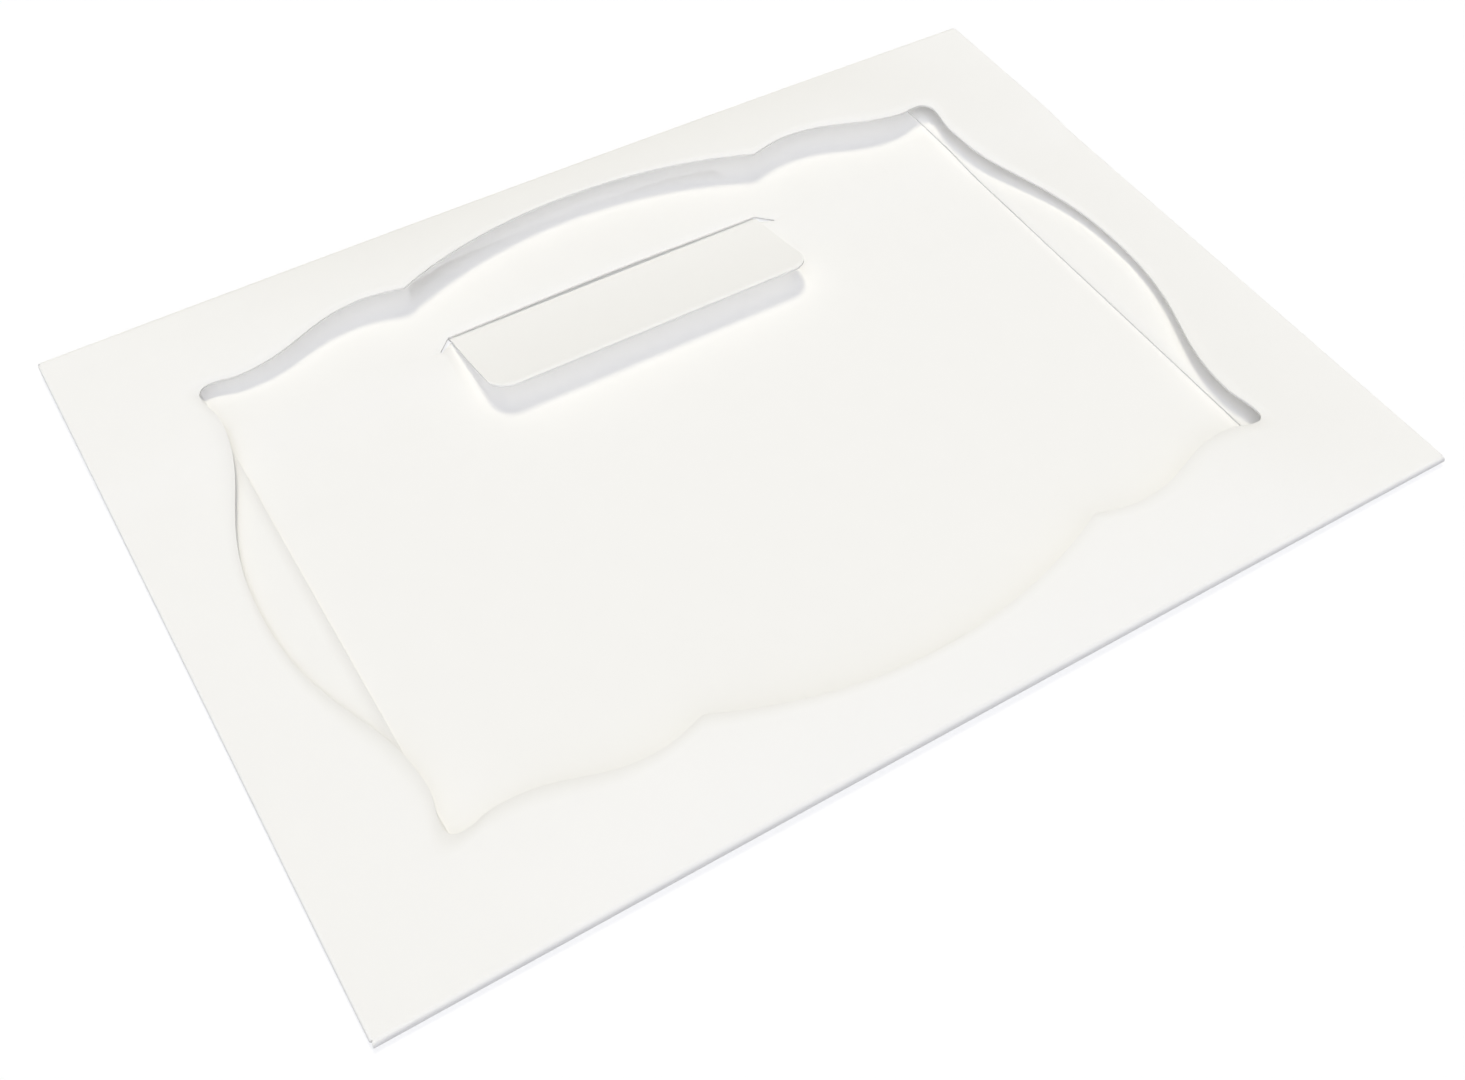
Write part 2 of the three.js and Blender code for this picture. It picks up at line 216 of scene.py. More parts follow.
class FolderShape:
    """Where every point of the folded sheet lies, halfway through the card, in millimetres."""

    def __init__(self, sizes):
        self.card = sizes.card_thickness / MM
        self.half_card = self.card / 2
        self.pitch = self.card + LAYER_GAP
        self.half_width = sizes.width / MM / 2
        self.half_height = sizes.height / MM / 2
        self.dome_rise = sizes.dome_rise / MM
        self.side_bulge = sizes.side_bulge / MM
        self.long_bulge = sizes.long_bulge / MM
        self.lobe_x = self.half_width - sizes.side_margin / MM
        self.lobe_y = self.half_height - sizes.long_margin / MM
        self.left_flap = sizes.left_flap_width / MM
        self.right_flap = sizes.right_flap_width / MM
        self.slit_y = self.half_height - sizes.slit_from_far_edge / MM
        self.tongue_half = sizes.tongue_width / MM / 2
        self.tongue_length = sizes.tongue_length / MM
        self.tongue_rise = sizes.tongue_rise / MM
        self.slit_straight_half = self.tongue_half + TONGUE_SIDE_CLEARANCE
        self.slit_half = self.slit_straight_half + SLIT_END_RUN

    # Heights of the layers

    def climb(self, y):
        """How far the layers have climbed on to the closing flap, from 0 to 1."""
        return smooth((y - self.slit_y + SLIT_GAP / 2 + RAMP_LENGTH) / RAMP_LENGTH)

    def side_flap_height(self, y):
        return self.half_card + self.pitch * (1 + self.climb(y))

    def front_height(self, x, y):
        level = self.half_card + self.pitch * (2 + self.climb(y))
        bow = LONG_FOLD_BOW * (1 - (x / self.half_width) ** 2)
        from_long_fold = self.half_height - FOLD_ALLOWANCE - np.abs(y)
        from_side_fold = self.half_width - FOLD_ALLOWANCE - np.abs(x)
        reach = np.where(np.less(x, 0), DOME_REACH_FROM_LEFT_FOLD, DOME_REACH_FROM_RIGHT_FOLD)
        dome = crown(from_long_fold / DOME_REACH_FROM_LONG_FOLDS) * smooth(from_side_fold / reach)
        return level + bow + self.dome_rise * dome

    def past_slit_straight(self, x):
        return np.abs(x - TONGUE_SHIFT_X) - self.slit_straight_half

    def slit_line(self, x):
        """The line of the slit, which turns down at each end."""
        past = self.past_slit_straight(x)
        down = np.clip(past / SLIT_END_RUN, 0, 1)
        back = np.clip((past - SLIT_END_RUN) / RAMP_LENGTH, 0, 1)
        return self.slit_y - SLIT_END_DROP * (down - back)

    def slit_half_gap(self, x):
        along_end = np.clip(self.past_slit_straight(x) / SLIT_END_RUN, 0, 1)
        return lerp(SLIT_GAP, SLIT_END_GAP, along_end) / 2

    def back_height(self, x, y, above_slit):
        if above_slit:
            across = np.clip(np.abs(x - TONGUE_SHIFT_X) / self.slit_half, 0, 1)
            fade = 1 - smooth((y - self.slit_line(x) - self.slit_half_gap(x)) / LIP_FADE)
            return self.half_card + self.pitch + LIP_LIFT * (1 - smooth(across)) * fade
        beside_slit = smooth(self.past_slit_straight(x) / SLIT_END_RUN)
        ramp = smooth((y - self.slit_line(x) + self.slit_half_gap(x) + RAMP_LENGTH) / RAMP_LENGTH)
        return self.half_card + self.pitch * beside_slit * ramp

    # Folds

    def bend(self, front, slope, flap, half, part):
        """One fold: how far out and how high the sheet is, a part of the way round a round bend."""
        tilt = np.arctan(slope)
        radius = (front - flap) / (1 + np.cos(tilt))
        angle = lerp(math.pi / 2 - tilt, -math.pi / 2, part)
        out = half - self.half_card - radius + radius * np.cos(angle)
        return out, flap + radius + radius * np.sin(angle)

    def side_fold(self, side, y, part):
        edge = side * (self.half_width - FOLD_ALLOWANCE)
        front = self.front_height(edge, y)
        slope = self.front_height(edge - side, y) - front
        out, z = self.bend(front, slope, self.side_flap_height(y), self.half_width, part)
        return np.stack([side * out, y, z], axis=-1)

    def long_fold(self, side, x, part):
        edge = side * (self.half_height - FOLD_ALLOWANCE)
        front = self.front_height(x, edge)
        slope = self.front_height(x, edge - side) - front
        out, z = self.bend(front, slope, self.half_card, self.half_height, part)
        nose = 1 + LONG_FOLD_NOSE / self.half_width * math.sin(math.pi * part)
        return np.stack([x * nose, side * out, z], axis=-1)

    def corner(self, side_x, side_y):
        """The corner of the front panel, where the folds of two sides meet."""
        x = self.side_fold(side_x, np.float64(side_y * self.half_height), 0)[0]
        y = self.long_fold(side_y, x, 0)[1]
        return np.array([x, y, self.front_height(x, y)])

    # One quarter of the window outline, from the middle of the right side to the middle of the far side

    def side_scroll(self):
        bulge_x = self.lobe_x + self.side_bulge
        waist = (self.lobe_x - WAIST_DEPTH, self.lobe_y - WAIST_BELOW_LOBE)
        lobe_start_y = self.lobe_y - LOBE_RADIUS
        third = (lobe_start_y - waist[1]) / 3
        bulge_pull = (bulge_x, waist[1] * BULGE_FULLNESS)
        waist_pull = (waist[0], waist[1] * (1 - WAIST_FULLNESS))
        neck_pull = (waist[0], waist[1] + third)
        lobe_pull = (self.lobe_x, lobe_start_y - third)
        return joined(
            bezier([(bulge_x, 0), bulge_pull, waist_pull, waist], BULGE_STEPS),
            bezier([waist, neck_pull, lobe_pull, (self.lobe_x, lobe_start_y)], NECK_STEPS),
        )

    def lobe_scroll(self):
        centre = (self.lobe_x - LOBE_RADIUS, self.lobe_y - LOBE_RADIUS)
        return arc(centre, LOBE_RADIUS, 0, math.pi / 2, LOBE_STEPS)

    def long_scroll(self):
        lobe_end = (self.lobe_x - LOBE_RADIUS, self.lobe_y)
        valley = (self.lobe_x - VALLEY_FROM_LOBE, self.lobe_y - VALLEY_DEPTH)
        bump = (CUSP_FROM_MIDDLE + BUMP_FROM_CUSP, self.lobe_y + BUMP_HEIGHT)
        cusp = (CUSP_FROM_MIDDLE, self.lobe_y + CUSP_HEIGHT)
        hollow = (lobe_end[0] - valley[0]) / 2
        sweep = (valley[0] - bump[0]) * SCROLL_SWEEP
        third = BUMP_FROM_CUSP / 3
        fall = (bump[1] - cusp[1]) / 2
        valley_in, valley_out = (valley[0] + hollow, valley[1]), (valley[0] - sweep, valley[1])
        bump_in, bump_out = (bump[0] + sweep, bump[1]), (bump[0] - third, bump[1])
        sagitta = self.long_bulge - CUSP_HEIGHT
        radius = (cusp[0] ** 2 + sagitta ** 2) / (2 * sagitta)
        top_start = math.acos(cusp[0] / radius)
        return joined(
            bezier([lobe_end, (lobe_end[0] - hollow, lobe_end[1]), valley_in, valley], VALLEY_STEPS),
            bezier([valley, valley_out, bump_in, bump], RISE_STEPS),
            bezier([bump, bump_out, (cusp[0] + third, cusp[1] + fall), cusp], SHOULDER_STEPS),
            arc((0, self.lobe_y + self.long_bulge - radius), radius, top_start, math.pi / 2, TOP_STEPS),
        )

    # Runs of matching points, on the window outline and on the outer edge

    def side_run(self, side):
        """Window points, outer points and places along the fold of a short side, in order of rising Y."""
        quarter = self.side_scroll()
        points = joined(quarter[::-1] * (1, -1), quarter) * (side, 1)
        low, high = self.corner(side, -1), self.corner(side, 1)
        reach = np.where(points[:, 1] < 0, -low[1], high[1])
        along = points[:, 1] * reach / (self.lobe_y - LOBE_RADIUS)
        outer = self.side_fold(side, along, 0)
        outer[0], outer[-1] = low, high
        return points, outer, along

    def long_run(self, side):
        """Window points, outer points and places along the fold of a long side, in order of rising X."""
        quarter = self.long_scroll()
        points = joined(quarter * (-1, 1), quarter[::-1]) * (1, side)
        low, high = self.corner(-1, side), self.corner(1, side)
        reach = np.where(points[:, 0] < 0, -low[0], high[0])
        along = points[:, 0] * reach / (self.lobe_x - LOBE_RADIUS)
        outer = self.long_fold(side, along, 0)
        outer[0], outer[-1] = low, high
        return points, outer, along

    def corner_run(self, side_x, side_y):
        """The run round one corner lobe, whose outer points are all the corner of the front panel."""
        points = self.lobe_scroll()[1:-1] * (side_x, side_y)
        return points, np.tile(self.corner(side_x, side_y), (len(points), 1))

    # Patches, whose rows run outwards from the window and whose columns run anticlockwise

    def front_panel(self):
        runs = [
            self.side_run(1),
            self.corner_run(1, 1),
            [part[::-1] for part in self.long_run(1)],
            [part[::-1] for part in self.corner_run(-1, 1)],
            [part[::-1] for part in self.side_run(-1)],
            self.corner_run(-1, -1),
            self.long_run(-1),
            [part[::-1] for part in self.corner_run(1, -1)],
        ]
        window = np.concatenate([run[0] for run in runs]) + (WINDOW_SHIFT_X, 0)
        outer = np.concatenate([run[1] for run in runs])
        window, outer = (np.concatenate([loop, loop[:1]]) for loop in (window, outer))
        part = crown(np.linspace(0, 1, FRONT_RINGS + 1))[:, None]
        x = lerp(window[:, 0], outer[:, 0], part)
        y = lerp(window[:, 1], outer[:, 1], part)
        points = np.stack([x, y, self.front_height(x, y)], axis=-1)
        points[-1] = outer
        return Patch(points, np.zeros(FRONT_RINGS + 1), None)

    def fold_rows(self, fold, side, run):
        """The rows of points round one fold, and how far round it each row is, as a rise and fall."""
        parts = np.linspace(0, 1, BEND_STEPS + 1)
        _, outer, along = run
        rows = [outer] + [fold(side, along, part) for part in parts[1:]]
        return rows, list(np.sin(parts * math.pi))

    def side_flap(self, side):
        run = self.side_run(side)
        along = run[2]
        rows, fold = self.fold_rows(self.side_fold, side, run)
        flap_width = self.left_flap if side < 0 else self.right_flap
        for part in np.arange(1, SIDE_FLAP_ROWS + 1) / SIDE_FLAP_ROWS:
            y = along * (1 - part * SIDE_FLAP_TAPER / self.half_height)
            x = lerp(rows[BEND_STEPS][:, 0], side * (self.half_width - flap_width), part)
            z = self.side_flap_height(y) - SIDE_FLAP_SETTLE * smooth(part)
            rows.append(np.stack([x, y, z], axis=-1))
            fold.append(0)
        points = np.stack(rows)
        return Patch(points if side > 0 else points[:, ::-1], np.array(fold), None)

    def back_panel(self):
        run = self.long_run(-1)
        along = run[2]
        rows, fold = self.fold_rows(self.long_fold, -1, run)
        long_steps = len(along) - 1
        side_x = self.half_width - BACK_PANEL_TAPER
        places = places_along(
            [
                -side_x,
                TONGUE_SHIFT_X - self.slit_half,
                TONGUE_SHIFT_X - self.slit_straight_half,
                TONGUE_SHIFT_X + self.slit_straight_half,
                TONGUE_SHIFT_X + self.slit_half,
                side_x,
            ],
            [
                OUTER_STEPS,
                SLIT_END_STEPS,
                long_steps - 2 * (OUTER_STEPS + SLIT_END_STEPS),
                SLIT_END_STEPS,
                OUTER_STEPS,
            ],
        )
        fold_y = rows[-1][:, 1]
        ramp_start = self.slit_y - SLIT_GAP / 2 - RAMP_LENGTH
        lower = self.slit_line(places) - self.slit_half_gap(places)
        upper = self.slit_line(places) + self.slit_half_gap(places)
        far_edge = self.half_height - BACK_PANEL_STOP

        def add_row(x, y, above_slit):
            rows.append(np.stack([x, y, self.back_height(x, y, above_slit)], axis=-1))
            fold.append(0)

        for part in np.arange(1, FLAT_ROWS + 1) / FLAT_ROWS:
            add_row(lerp(along, places, smooth(part)), lerp(fold_y, ramp_start, part), False)
        for part in np.arange(1, RAMP_ROWS + 1) / RAMP_ROWS:
            add_row(places, lerp(ramp_start, lower, part), False)
        lower_lip = len(rows) - 1
        for part in np.arange(STRIP_ROWS + 1) / STRIP_ROWS:
            add_row(places, lerp(upper, far_edge, part), True)
        is_open = np.zeros((len(rows) - 1, long_steps), bool)
        is_open[lower_lip, OUTER_STEPS:long_steps - OUTER_STEPS] = True
        return Patch(np.stack(rows), np.array(fold), is_open)

    def tongue_places(self, long_steps):
        """Places along X across the closing flap's far edge, in order of rising X."""
        straight = self.tongue_half - TONGUE_CORNER_RADIUS
        shoulder = self.slit_half + SHOULDER_STEP
        middle_steps = long_steps - 2 * (OUTER_STEPS + TONGUE_CORNER_STEPS)
        places = places_along(
            [-shoulder, -self.tongue_half, -straight, straight, self.tongue_half, shoulder],
            [OUTER_STEPS, TONGUE_CORNER_STEPS, middle_steps, TONGUE_CORNER_STEPS, OUTER_STEPS],
        )
        into_corner = (np.abs(places) - straight) / TONGUE_CORNER_RADIUS
        rounded = straight + TONGUE_CORNER_RADIUS * np.sin(np.clip(into_corner, 0, 1) * math.pi / 2)
        is_corner = (into_corner > 0) & (into_corner <= 1)
        return TONGUE_SHIFT_X + np.where(is_corner, np.sign(places) * rounded, places)

    def tongue_rounding(self, x):
        """How far the tongue's free edge is rounded back at a place along X."""
        into_corner = np.abs(x - TONGUE_SHIFT_X) - (self.tongue_half - TONGUE_CORNER_RADIUS)
        run = np.clip(into_corner, 0, TONGUE_CORNER_RADIUS)
        return TONGUE_CORNER_RADIUS - np.sqrt(TONGUE_CORNER_RADIUS ** 2 - run ** 2)

    def closing_flap(self):
        run = [part[::-1] for part in self.long_run(1)]
        along = run[2]
        rows, fold = self.fold_rows(self.long_fold, 1, run)
        places = self.tongue_places(len(along) - 1)[::-1]
        fold_y = rows[-1][:, 1]
        shoulder_y = self.slit_y + SLIT_GAP / 2 + SHOULDER_FROM_SLIT
        crossing = self.pitch / 2
        tongue_floor = self.half_card + self.pitch

        def add_row(x, y, z):
            rows.append(np.stack(np.broadcast_arrays(x, y, z), axis=-1))
            fold.append(0)

        for part in np.arange(1, CLOSING_FLAP_ROWS + 1) / CLOSING_FLAP_ROWS:
            add_row(lerp(along, places, part), lerp(fold_y, shoulder_y, part), self.half_card)
        shoulder_row = len(rows) - 1
        for part in np.arange(CROSSING_ROWS + 1) / CROSSING_ROWS:
            y = lerp(self.slit_y + crossing, self.slit_y - crossing, part)
            add_row(places, y, lerp(self.half_card, tongue_floor, smooth(part)))
        start_y = self.slit_y - crossing
        free_y = self.slit_y - self.tongue_length + self.tongue_rounding(places)
        for part in np.arange(1, TONGUE_ROWS + 1) / TONGUE_ROWS:
            y = lerp(start_y, free_y, part)
            reach = (start_y - y) / (self.tongue_length - crossing)
            curl = reach * lerp(TONGUE_START_SLOPE, 1, reach)
            add_row(places, y, tongue_floor + self.tongue_rise * curl)
        is_open = np.ones((len(rows) - 1, len(along) - 1), bool)
        is_open[:shoulder_row] = False
        is_open[:, OUTER_STEPS:len(along) - 1 - OUTER_STEPS] = False
        return Patch(np.stack(rows), np.array(fold), is_open)

    def patches(self):
        return [
            self.front_panel(),
            self.side_flap(1),
            self.side_flap(-1),
            self.back_panel(),
            self.closing_flap(),
        ]


def sheet_mesh(patches):
    """The whole sheet as one surface, with an attribute that is 1 along the middle of each fold."""
    mesh = bmesh.new()
    fold_layer = mesh.verts.layers.float.new("fold")
    for patch in patches:
        grid = []
        for row, fold in zip(patch.points * MM, patch.fold):
            grid.append([mesh.verts.new(point) for point in row])
            for vertex in grid[-1]:
                vertex[fold_layer] = fold
        for row, (near, far) in enumerate(zip(grid, grid[1:])):
            for column in range(len(near) - 1):
                if patch.is_open is not None and patch.is_open[row, column]:
                    continue
                mesh.faces.new((near[column], far[column], far[column + 1], near[column + 1]))
    bmesh.ops.remove_doubles(mesh, verts=mesh.verts, dist=WELD_DISTANCE * MM)
    loose = [vertex for vertex in mesh.verts if not vertex.link_faces]
    bmesh.ops.delete(mesh, geom=loose, context="VERTS")
    sheet = bpy.data.meshes.new("sheet")
    mesh.to_mesh(sheet)
    mesh.free()
    return sheet


def give_thickness(folder, thickness):
    """Thickens the sheet about its middle, and rounds its cut edges a little."""
    solidify = folder.modifiers.new("card_thickness", "SOLIDIFY")
    solidify.thickness = thickness
    solidify.offset = 0
    solidify.material_offset_rim = 1
    bevel = folder.modifiers.new("cut_edges", "BEVEL")
    bevel.width = EDGE_ROUNDING * MM
    bevel.segments = EDGE_ROUNDING_STEPS
    bevel.limit_method = "ANGLE"
    bevel.angle_limit = math.radians(EDGE_ANGLE)
    bevel.harden_normals = True
    sheet = folder.data
    depsgraph = bpy.context.evaluated_depsgraph_get()
    folder.data = bpy.data.meshes.new_from_object(folder.evaluated_get(depsgraph))
    folder.modifiers.clear()
    folder.data.name = folder.name
    folder.data.shade_smooth()
    bpy.data.meshes.remove(sheet)


# Materials


def add_node(tree, kind, inputs=(), **settings):
    """A shader node with its settings made, and its inputs set or linked."""
    node = tree.nodes.new(kind)
    for name, value in settings.items():
        setattr(node, name, value)
    for name, value in dict(inputs).items():
        if isinstance(value, bpy.types.NodeSocket):
            tree.links.new(value, node.inputs[name])
        else:
            node.inputs[name].default_value = value
    return node


def new_material(name):
    """A card material whose nodes are built on its own surface shader."""
    material = bpy.data.materials.new(name)
    material.use_nodes = True
    shader = material.node_tree.nodes["Principled BSDF"]
    shader.inputs["Specular IOR Level"].default_value = CARD_SPECULAR
    return material, shader


def fibre_noise(tree, place, scale, stretch):
    """Fine fibres, as noise that is stretched along one direction."""
    mapped = add_node(tree, "ShaderNodeMapping", {"Vector": place, "Scale": stretch})
    return add_node(
        tree,
        "ShaderNodeTexNoise",
        {
            "Vector": mapped.outputs["Vector"],
            "Scale": scale,
            "Detail": FIBRE_DETAIL,
            "Distortion": FIBRE_DISTORTION,
        },
    ).outputs["Fac"]


def mottled(tree, factor, colour, darkening):
    """The card's colour, made darker where a factor is low."""
    mottle = add_node(tree, "ShaderNodeMix", {"Factor": factor}, data_type="RGBA")
    mottle.inputs["A"].default_value = (*(channel * (1 - darkening) for channel in colour), 1)
    mottle.inputs["B"].default_value = (*colour, 1)
    return mottle.outputs["Result"]


def card_material(look):
    """Warm white card: a faint cloudiness, fine fibres, and folds that are rougher and painted a little grey
    as shade.
    """
    material, shader = new_material("Warm white card")
    tree = material.node_tree
    place = add_node(tree, "ShaderNodeTexCoord").outputs["Object"]
    cloud = add_node(
        tree,
        "ShaderNodeTexNoise",
        {"Vector": place, "Scale": CLOUD_SCALE, "Detail": CLOUD_DETAIL},
    )
    clean = mottled(tree, cloud.outputs["Fac"], look.card_colour, look.cloudiness)
    # Painted shade: along the middle of each fold the colour is mixed towards a dark grey, which stands in
    # for the shaded side of the rounded fold
    fold = add_node(tree, "ShaderNodeAttribute", attribute_name="fold").outputs["Fac"]
    shading = add_node(
        tree,
        "ShaderNodeMapRange",
        {"Value": fold, "From Min": PAINTED_SHADE_START, "To Max": look.painted_fold_shade},
    )
    shaded = add_node(tree, "ShaderNodeMix", {"Factor": shading.outputs["Result"]}, data_type="RGBA")
    tree.links.new(clean, shaded.inputs["A"])
    shaded.inputs["B"].default_value = (*look.painted_shade_colour, 1)
    tree.links.new(shaded.outputs["Result"], shader.inputs["Base Color"])
    across = fibre_noise(tree, place, FIBRE_SCALE, (1, FIBRE_STRETCH, 1))
    along = fibre_noise(tree, place, FIBRE_SCALE, (FIBRE_STRETCH, 1, 1))
    fibres = add_node(tree, "ShaderNodeMath", {0: across, 1: along}, operation="ADD").outputs["Value"]
    strength = add_node(
        tree,
        "ShaderNodeMapRange",
        {
            "Value": fold,
            "To Min": look.fibre_strength,
            "To Max": FOLD_FIBRE_RATIO * look.fibre_strength,
        },
    )
    bump = add_node(
        tree,
        "ShaderNodeBump",
        {"Height": fibres, "Strength": strength.outputs["Result"], "Distance": FIBRE_DEPTH * MM},
    )
    tree.links.new(bump.outputs["Normal"], shader.inputs["Normal"])
    rough = add_node(
        tree,
        "ShaderNodeMapRange",
        {"Value": fibres, "To Min": FIBRE_ROUGHNESS_LOW, "To Max": FIBRE_ROUGHNESS_HIGH},
    )
    tree.links.new(rough.outputs["Result"], shader.inputs["Roughness"])
    return material


def cut_edge_material(look):
    """The cut edge of the card, where its layers of fibre show."""
    material, shader = new_material("Cut edge of card")
    shader.inputs["Roughness"].default_value = EDGE_ROUGHNESS
    tree = material.node_tree
    place = add_node(tree, "ShaderNodeTexCoord").outputs["Object"]
    layers = fibre_noise(tree, place, EDGE_LAYER_SCALE, (1, 1, EDGE_LAYER_STRETCH))
    layered = mottled(tree, layers, look.card_colour, EDGE_CLOUDINESS_RATIO * look.cloudiness)
    tree.links.new(layered, shader.inputs["Base Color"])
    bump = add_node(
        tree,
        "ShaderNodeBump",
        {"Height": layers, "Strength": EDGE_LAYER_STRENGTH, "Distance": EDGE_LAYER_DEPTH * MM},
    )
    tree.links.new(bump.outputs["Normal"], shader.inputs["Normal"])
    return material


# Stage


def backdrop_rays(tree):
    """1 for the rays that should see a white background, and 0 for the rays that light the folder."""
    path = add_node(tree, "ShaderNodeLightPath").outputs
    seen = path["Is Camera Ray"]
    for ray in ("Is Glossy Ray", "Is Transmission Ray"):
        seen = add_node(tree, "ShaderNodeMath", {0: seen, 1: path[ray]}, operation="MAXIMUM").outputs["Value"]
    return seen


def floor_material(stage):
    """A white floor that keeps a faint shadow of the folder."""
    material = bpy.data.materials.new("White floor")
    material.use_nodes = True
    tree = material.node_tree
    shader = tree.nodes["Principled BSDF"]
    shader.inputs["Base Color"].default_value = (FLOOR_GREY, FLOOR_GREY, FLOOR_GREY, 1)
    shader.inputs["Roughness"].default_value = 1
    shader.inputs["Specular IOR Level"].default_value = 0
    shown = add_node(tree, "ShaderNodeBsdfDiffuse", {"Color": (1, 1, 1, 1)})
    glow = add_node(tree, "ShaderNodeEmission", {"Color": (1, 1, 1, 1), "Strength": 1})
    white = add_node(
        tree,
        "ShaderNodeMixShader",
        {"Fac": stage.floor_glow, 1: shown.outputs["BSDF"], 2: glow.outputs["Emission"]},
    )
    mixed = add_node(
        tree,
        "ShaderNodeMixShader",
        {"Fac": backdrop_rays(tree), 1: shader.outputs["BSDF"], 2: white.outputs["Shader"]},
    )
    tree.links.new(mixed.outputs["Shader"], tree.nodes["Material Output"].inputs["Surface"])
    return material


def lay_floor(stage):
    """A wide floor, just under the folder's back."""
    mesh = bpy.data.meshes.new("floor")
    corners = [(x * FLOOR_REACH, y * FLOOR_REACH, 0) for x, y in ((-1, -1), (1, -1), (1, 1), (-1, 1))]
    mesh.from_pydata(corners, [], [(0, 1, 2, 3)])
    mesh.materials.append(floor_material(stage))
    floor = bpy.data.objects.new("floor", mesh)
    floor.location.z = -FLOOR_DROP * MM
    bpy.context.scene.collection.objects.link(floor)
    return floor


def light_world(stage):
    """Even light from all round, behind a white background."""
    world = bpy.data.worlds.new("Studio")
    world.use_nodes = True
    tree = world.node_tree
    fill = tree.nodes["Background"]
    fill.inputs["Color"].default_value = (*stage.room_colour, 1)
    fill.inputs["Strength"].default_value = stage.room_strength
    white = add_node(tree, "ShaderNodeBackground", {"Color": (1, 1, 1, 1), "Strength": 1})
    mixed = add_node(
        tree,
        "ShaderNodeMixShader",
        {"Fac": backdrop_rays(tree), 1: fill.outputs["Background"], 2: white.outputs["Background"]},
    )
    tree.links.new(mixed.outputs["Shader"], tree.nodes["World Output"].inputs["Surface"])
    bpy.context.scene.world = world


def hang_lamp(stage, name, colour, casts_shadow):
    """One of the stage's lamps, far away. One that casts no shadow makes the shadows of the others paler."""
    lamp = bpy.data.objects.new(f"{name}_lamp", bpy.data.lights.new(f"{name}_lamp", "SUN"))
    lamp.data.energy = getattr(stage, f"{name}_strength")
    lamp.data.color = colour
    lamp.data.angle = getattr(stage, f"{name}_spread")
    lamp.data.use_shadow = casts_shadow
    to_lamp = Vector(getattr(stage, f"{name}_direction"))
    lamp.rotation_euler = to_lamp.to_track_quat("Z", "Y").to_euler()
    lamp.location = to_lamp
    bpy.context.scene.collection.objects.link(lamp)


def set_camera(stage):
    """A camera that stands where the stage says, looks at its aim, and is turned a little about its view."""
    camera = bpy.data.objects.new("camera", bpy.data.cameras.new("camera"))
    camera.data.lens = stage.lens
    camera.data.clip_start = MM
    camera.location = stage.camera_place
    aim = Vector(stage.camera_aim) - camera.location
    level = aim.to_track_quat("-Z", "Y")
    camera.rotation_euler = (level @ Quaternion((0, 0, 1), stage.camera_roll)).to_euler()
    bpy.context.scene.collection.objects.link(camera)
    bpy.context.scene.camera = camera


# Settings


def length_setting(name, description, default):
    """A length that a user may change. The default is in millimetres."""
    return FloatProperty(name=name, description=description, default=default * MM, min=0, unit="LENGTH")


def colour_setting(name, description, default):
    """A colour, as red, green and blue from 0 to 1."""
    return FloatVectorProperty(
        name=name, description=description, default=default, size=3, min=0, max=1, subtype="COLOR",
    )


def share_setting(name, description, default, high=1):
    """A number from 0 to 1, or to a lower limit."""
    return FloatProperty(
        name=name, description=description, default=default, min=0, max=high, subtype="FACTOR",
    )


def strength_setting(name, description, default):
    """The strength of a lamp, or of the light from all round."""
    return FloatProperty(name=name, description=description, default=default, min=0)


def angle_setting(name, description, degrees, low=0):
    """An angle that a user may change. The default and the lowest value are in degrees."""
    default, low = math.radians(degrees), math.radians(low)
    return FloatProperty(name=name, description=description, default=default, min=low, subtype="ANGLE")


def direction_setting(name, description, default):
    """A direction in the scene, of any length."""
    return FloatVectorProperty(name=name, description=description, default=default, size=3, subtype="XYZ")


def place_setting(name, description, default):
    """A place in the scene, in metres."""
    return FloatVectorProperty(
        name=name, description=description, default=default, size=3, subtype="TRANSLATION", unit="LENGTH",
    )


class FolderSizes(bpy.types.PropertyGroup):
    """Sizes of the card and of what is cut and folded from it."""

    width: length_setting("Width", "Length of the long edges", (FRAME_HIGH.x - FRAME_LOW.x) / MM)
    height: length_setting("Height", "Length of the short edges", (FRAME_HIGH.y - FRAME_LOW.y) / MM)
    card_thickness: length_setting("Card thickness", "Thickness of the card", 0.35)
    dome_rise: length_setting("Dome rise", "How far the front panel springs up above its folds", 3.2)
    side_margin: length_setting("Side margin", "From a short edge to the window's corner lobes", 20.6)
    long_margin: length_setting("Long margin", "From a long edge to the window's corner lobes", 20)
    side_bulge: length_setting("Side bulge", "How far the window swells past its lobes to each side", 7.5)
    long_bulge: length_setting(
        "Long bulge", "How far the window swells past its lobes at each long edge", 9.7,
    )
    left_flap_width: length_setting(
        "Left flap width", "From the left edge to the left flap's free edge", 20.6,
    )
    right_flap_width: length_setting(
        "Right flap width", "From the right edge to the right flap's free edge", 23.2,
    )
    slit_from_far_edge: length_setting("Slit from far edge", "From the far long edge to the slit", 28)
    tongue_width: length_setting("Tongue width", "Width of the tongue in the slit", 60.4)
    tongue_length: length_setting("Tongue length", "From the slit to the tongue's free edge", 18.6)
    tongue_rise: length_setting("Tongue rise", "How far the tongue's free edge stands up", 4.2)


class CardLook(bpy.types.PropertyGroup):
    """Colour and surface of the card."""

    card_colour: colour_setting("Card colour", "Colour of the card", (0.9, 0.89, 0.86))
    # Painted shade along the folds: a dark grey mixed into the card's colour at the middle of each fold
    painted_shade_colour: colour_setting(
        "Shading colour", "Colour of the card where a fold is worn", (0.24, 0.24, 0.27),
    )
    painted_fold_shade: share_setting(
        "Fold wear", "How much of the wear colour shows along the middle of each fold", 0.26,
    )
    cloudiness: share_setting(
        "Cloudiness", "How much darker the card is where its fibres lie thin", 0.012, high=0.2,
    )
    fibre_strength: share_setting("Fibre strength", "How much the fibres stand out of the surface", 0.35)


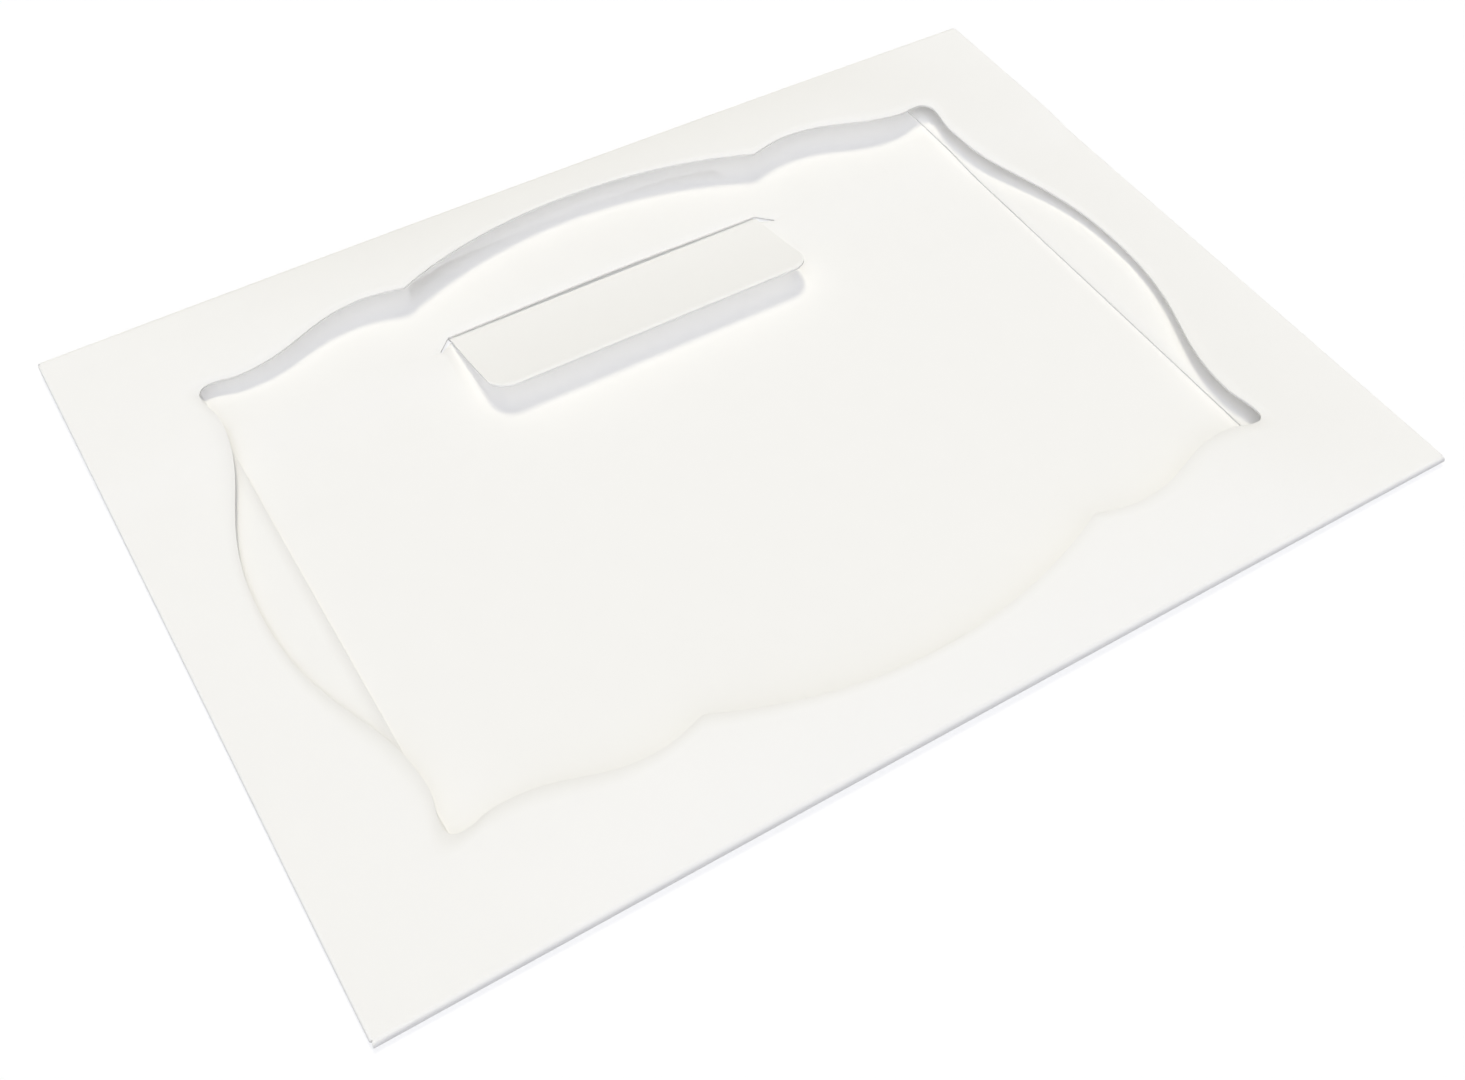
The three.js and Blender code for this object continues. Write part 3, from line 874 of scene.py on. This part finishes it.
class StageLook(bpy.types.PropertyGroup):
    """Light, floor and camera."""

    key_direction: direction_setting(
        "Key direction", "From the folder towards the key lamp", (0.16, 0.4, 1),
    )
    key_strength: strength_setting("Key strength", "Strength of the key lamp", 1.18)
    key_spread: angle_setting("Key spread", "How wide the key lamp looks, which softens the shadows", 16)
    key_colour: colour_setting("Key colour", "Colour of the key lamp", (1, 0.956, 0.78))
    fill_direction: direction_setting(
        "Fill direction", "From the folder towards the fill lamp", (-0.19, -0.29, 1),
    )
    fill_strength: strength_setting(
        "Fill strength", "Strength of the fill lamp, which casts no shadow", 1.31,
    )
    fill_spread: angle_setting("Fill spread", "How wide the fill lamp looks", 60)
    side_direction: direction_setting(
        "Side direction", "From the folder towards the side lamp", (-0.446, -0.687, 0.574),
    )
    side_strength: strength_setting("Side strength", "Strength of the side lamp", 0.73)
    side_spread: angle_setting("Side spread", "How wide the side lamp looks", 60)
    room_colour: colour_setting(
        "Room colour", "Colour of the fill and side lamps and the room", (0.9, 0.92, 1),
    )
    room_strength: strength_setting("Room strength", "Strength of the light from all round", 0.22)
    floor_glow: share_setting("Floor glow", "How much the floor glows, which makes the shadow fainter", 0.6)
    camera_place: place_setting("Camera place", "Where the camera stands", (-0.09806, -0.14955, 0.19628))
    camera_aim: place_setting(
        "Camera aim", "The point that the camera looks at", (-0.01407, -0.02215, 0.0011),
    )
    camera_roll: angle_setting(
        "Camera roll", "How far the camera is turned about its line of sight", 2.16, low=-180,
    )
    lens: FloatProperty(
        name="Lens",
        description="Focal length in millimetres on a sensor 36 mm wide",
        default=40.04,
        min=1,
        unit="CAMERA",
    )


# Operators


class PHOTOFOLDER_OT_fold_card(bpy.types.Operator):
    """Folds the card into the photo folder, in the place of the plain solid"""

    bl_idname = "photofolder.fold_card"
    bl_label = "Fold Card"
    bl_options = {"REGISTER", "UNDO"}

    def execute(self, context):
        scene = context.scene
        if CARD_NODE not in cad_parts:
            raise RuntimeError(f"the frame has no {CARD_NODE} to fold the card around")
        sheet = sheet_mesh(FolderShape(scene.photofolder_sizes).patches())
        folder = bpy.data.objects.new("photo_folder", sheet)
        scene.collection.objects.link(folder)
        folder.data.materials.append(card_material(scene.photofolder_card))
        folder.data.materials.append(cut_edge_material(scene.photofolder_card))
        give_thickness(folder, scene.photofolder_sizes.card_thickness)
        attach(folder, "root")
        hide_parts(CARD_NODE)
        return {"FINISHED"}


class PHOTOFOLDER_OT_set_stage(bpy.types.Operator):
    """Lays the floor, lights it and sets the camera"""

    bl_idname = "photofolder.set_stage"
    bl_label = "Set Stage"
    bl_options = {"REGISTER", "UNDO"}

    def execute(self, context):
        stage = context.scene.photofolder_stage
        lay_floor(stage)
        light_world(stage)
        hang_lamp(stage, "key", stage.key_colour, True)
        hang_lamp(stage, "fill", stage.room_colour, False)
        hang_lamp(stage, "side", stage.room_colour, True)
        set_camera(stage)
        context.scene.view_settings.view_transform = "Standard"
        return {"FINISHED"}


class PHOTOFOLDER_PT_panel(bpy.types.Panel):
    """Lists the folder's steps and settings in the sidebar"""

    bl_idname = "PHOTOFOLDER_PT_panel"
    bl_label = "Photo Folder"
    bl_space_type = "VIEW_3D"
    bl_region_type = "UI"
    bl_category = "Photo Folder"

    def draw(self, context):
        for operator in OPERATORS:
            self.layout.operator(operator.bl_idname)
        for name in SETTINGS:
            box = self.layout.box()
            settings = getattr(context.scene, name)
            for key in settings.bl_rna.properties.keys():
                if key not in {"rna_type", "name"}:
                    box.prop(settings, key)


OPERATORS = (PHOTOFOLDER_OT_fold_card, PHOTOFOLDER_OT_set_stage)
SETTINGS = {
    "photofolder_sizes": FolderSizes,
    "photofolder_card": CardLook,
    "photofolder_stage": StageLook,
}
CLASSES = (*SETTINGS.values(), *OPERATORS, PHOTOFOLDER_PT_panel)


def register():
    for cls in CLASSES:
        bpy.utils.register_class(cls)
    for name, cls in SETTINGS.items():
        setattr(bpy.types.Scene, name, PointerProperty(type=cls))


def unregister():
    for name in SETTINGS:
        delattr(bpy.types.Scene, name)
    for cls in reversed(CLASSES):
        bpy.utils.unregister_class(cls)


def main():
    register()
    bpy.ops.photofolder.fold_card()
    bpy.ops.photofolder.set_stage()


if __name__ == "__main__":
    main()
